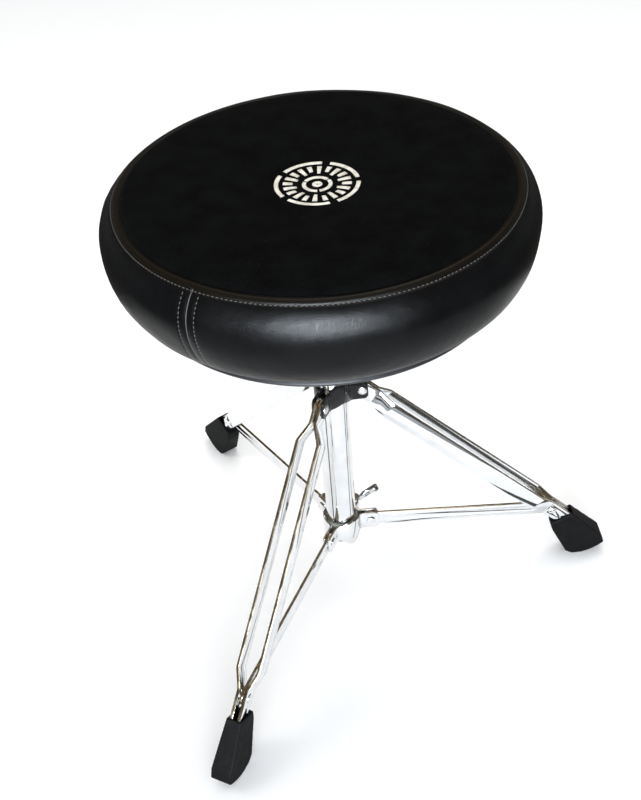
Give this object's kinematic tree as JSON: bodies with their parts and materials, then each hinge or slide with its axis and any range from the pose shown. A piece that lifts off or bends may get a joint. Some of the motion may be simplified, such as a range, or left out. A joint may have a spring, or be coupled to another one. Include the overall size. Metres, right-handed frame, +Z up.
{
  "type": "drum throne",
  "caption": "Round padded stool seat with a cloth top on a screw spindle, on a folding double-strip tripod with sliding collar, wing screw and rubber feet.",
  "frame": {"origin": "centre of the bounding box on the floor", "axes": "+Z up, +X from the tube's axis out along leg 1; the tube's axis stands at x = -0.05915, y = 0"},
  "size_m": [0.5502, 0.5916, 0.5768],
  "materials": {
    "chrome": "bright nickel-chrome plate",
    "plain_steel": "zinc-plated machined steel",
    "black_paint": "gloss black paint over pressed steel",
    "black_plastic": "matt black",
    "trim_plastic": "semi-gloss black edge moulding",
    "rubber": "matt black moulded rubber",
    "plywood": "unfinished plywood",
    "foam": "open-cell foam",
    "vinyl": "grained black vinyl upholstery",
    "velour": "short-pile black velour"
  },
  "bodies": {
    "column": {"centre_tube": "chrome", "tube_plug": "black_plastic", "spindle_nut": "plain_steel", "hub_plate_1": "black_paint", "hub_plate_2": "black_paint", "hub_plate_3": "black_paint", "leg_pin_1_left": "chrome", "leg_pin_1_right": "chrome", "leg_pin_2_left": "chrome", "leg_pin_2_right": "chrome", "leg_pin_3_left": "chrome", "leg_pin_3_right": "chrome"},
    "spindle": {"spindle": "plain_steel"},
    "seat": {"seat_bracket": "black_paint", "bracket_screw_1": "plain_steel", "bracket_screw_2": "plain_steel", "bracket_screw_3": "plain_steel", "bracket_screw_4": "plain_steel", "clamp_bolt": "plain_steel", "seat_board": "plywood", "edge_trim": "trim_plastic", "seat_foam": "foam", "seat_side_band": "vinyl", "seat_top_cloth": "velour"},
    "collar": {"collar_bush": "black_plastic", "collar_boss": "chrome", "collar_plate_1": "chrome", "collar_plate_2": "chrome", "collar_plate_3": "chrome", "stay_pin_1": "chrome", "stay_pin_2": "chrome", "stay_pin_3": "chrome"},
    "wing": {"wing_screw": "chrome"},
    "stay_1": {"stay_1": "chrome"},
    "stay_2": {"stay_2": "chrome"},
    "stay_3": {"stay_3": "chrome"},
    "leg_1": {"leg_1_strip_left": "chrome", "leg_1_strip_right": "chrome", "foot_pin_1": "chrome", "rubber_foot_1": "rubber"},
    "leg_2": {"leg_2_strip_left": "chrome", "leg_2_strip_right": "chrome", "foot_pin_2": "chrome", "rubber_foot_2": "rubber"},
    "leg_3": {"leg_3_strip_left": "chrome", "leg_3_strip_right": "chrome", "foot_pin_3": "chrome", "rubber_foot_3": "rubber"}
  },
  "joints": [
    {"name": "spindle_lift", "type": "slide", "parent": "column", "child": "spindle", "axis": [0, 0, 1], "range_m": [-0.0801, 0.0241]},
    {"name": "seat_turn", "type": "hinge", "parent": "spindle", "child": "seat", "pos_m": [-0.05915, 0, 0.45], "axis": [0, 0, 1], "range_deg": [-7200, 2160]},
    {"name": "tripod_fold", "type": "slide", "parent": "column", "child": "collar", "axis": [0, 0, 1], "range_m": [0, 0.11612]},
    {"name": "wing_turn", "type": "hinge", "parent": "collar", "child": "wing", "pos_m": [-0.03915, 0.03464, 0.095], "axis": [0.5, 0.866, 0], "range_deg": [0, 720]},
    {"name": "stay_1_fold", "type": "hinge", "parent": "collar", "child": "stay_1", "pos_m": [-0.02315, 0, 0.095], "axis": [0, 1, 0], "range_deg": [-0.1, 79.72]},
    {"name": "stay_2_fold", "type": "hinge", "parent": "collar", "child": "stay_2", "pos_m": [-0.07715, 0.03118, 0.095], "axis": [-0.866, -0.5, 0], "range_deg": [-0.1, 79.72]},
    {"name": "stay_3_fold", "type": "hinge", "parent": "collar", "child": "stay_3", "pos_m": [-0.07715, -0.03118, 0.095], "axis": [0.866, -0.5, 0], "range_deg": [-0.1, 79.72]},
    {"name": "leg_1_fold", "type": "hinge", "parent": "stay_1", "child": "leg_1", "pos_m": [0.20485, 0, 0.079], "axis": [0, 1, 0], "range_deg": [-39.47, 0.1]},
    {"name": "leg_2_fold", "type": "hinge", "parent": "stay_2", "child": "leg_2", "pos_m": [-0.19115, 0.22863, 0.079], "axis": [-0.866, -0.5, 0], "range_deg": [-39.47, 0.1]},
    {"name": "leg_3_fold", "type": "hinge", "parent": "stay_3", "child": "leg_3", "pos_m": [-0.19115, -0.22863, 0.079], "axis": [0.866, -0.5, 0], "range_deg": [-39.47, 0.1]}
  ],
  "couplings": [
    {"joint": "spindle_lift", "follows": "seat_turn", "m_per_rad": 0.00063662},
    {"joint": "stay_1_fold", "follows": "tripod_fold", "rad_per_m": 11.967},
    {"joint": "stay_2_fold", "follows": "tripod_fold", "rad_per_m": 11.967},
    {"joint": "stay_3_fold", "follows": "tripod_fold", "rad_per_m": 11.967},
    {"joint": "leg_1_fold", "follows": "tripod_fold", "rad_per_m": -5.9175},
    {"joint": "leg_2_fold", "follows": "tripod_fold", "rad_per_m": -5.9175},
    {"joint": "leg_3_fold", "follows": "tripod_fold", "rad_per_m": -5.9175}
  ]
}
